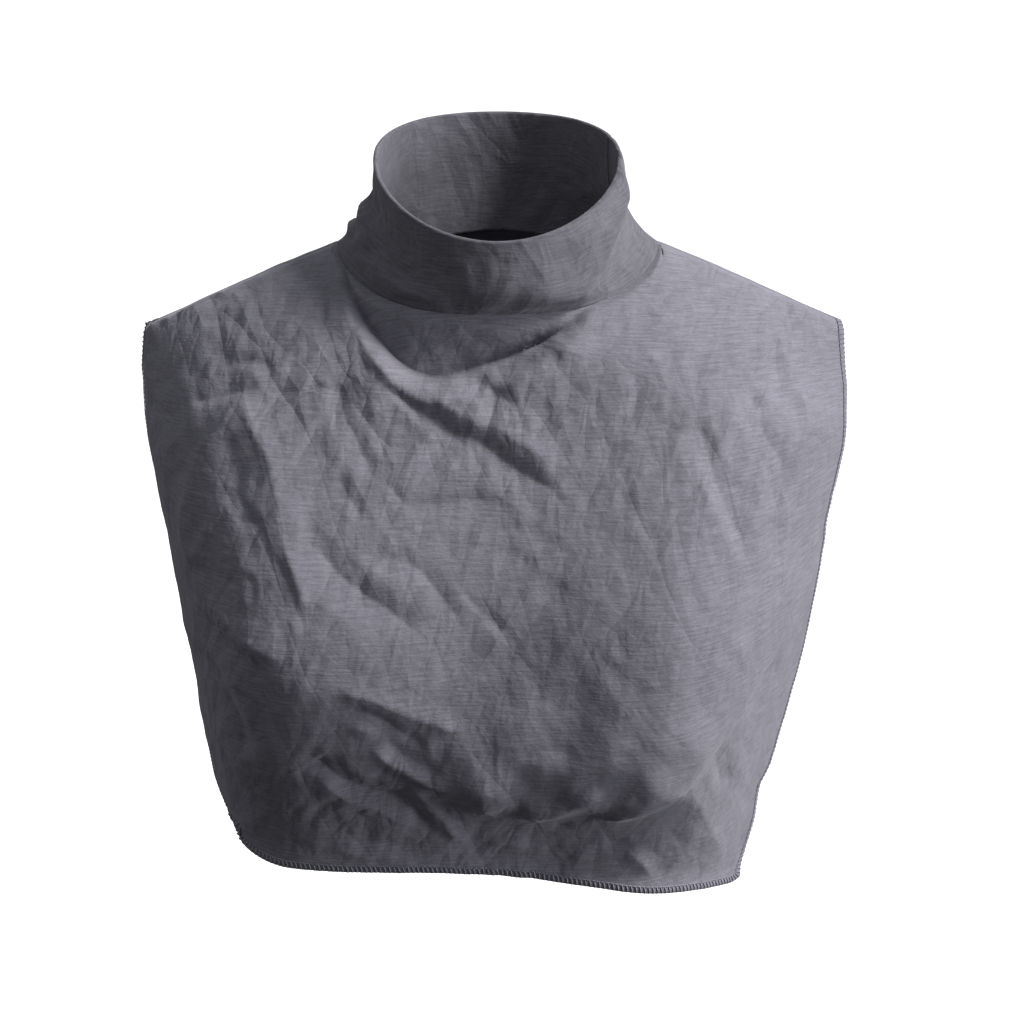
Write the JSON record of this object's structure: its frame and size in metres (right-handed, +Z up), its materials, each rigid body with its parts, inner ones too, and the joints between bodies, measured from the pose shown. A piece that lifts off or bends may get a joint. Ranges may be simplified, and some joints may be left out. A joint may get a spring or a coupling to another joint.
{
  "type": "turtleneck dickey",
  "caption": "Sleeveless jersey bib worn under a top: cropped front and back panels joined along the shoulders, with a snug turtleneck band and open sides.",
  "frame": {"origin": "middle of the neck, level with the two neck points where the shoulder seams meet the collar", "axes": "+Z up through the neck opening, -Y out of the chest, +X to the right as the front is looked at"},
  "size_m": [0.3746, 0.2333, 0.4033],
  "materials": {
    "jersey": "matt fine knit",
    "band_jersey": "matt fine knit, doubled",
    "thread": "overlock thread"
  },
  "bodies": {
    "root": {"front_panel": "jersey", "back_panel": "jersey", "collar": "band_jersey", "front_edging": "thread", "back_edging": "thread"}
  },
  "joints": []
}
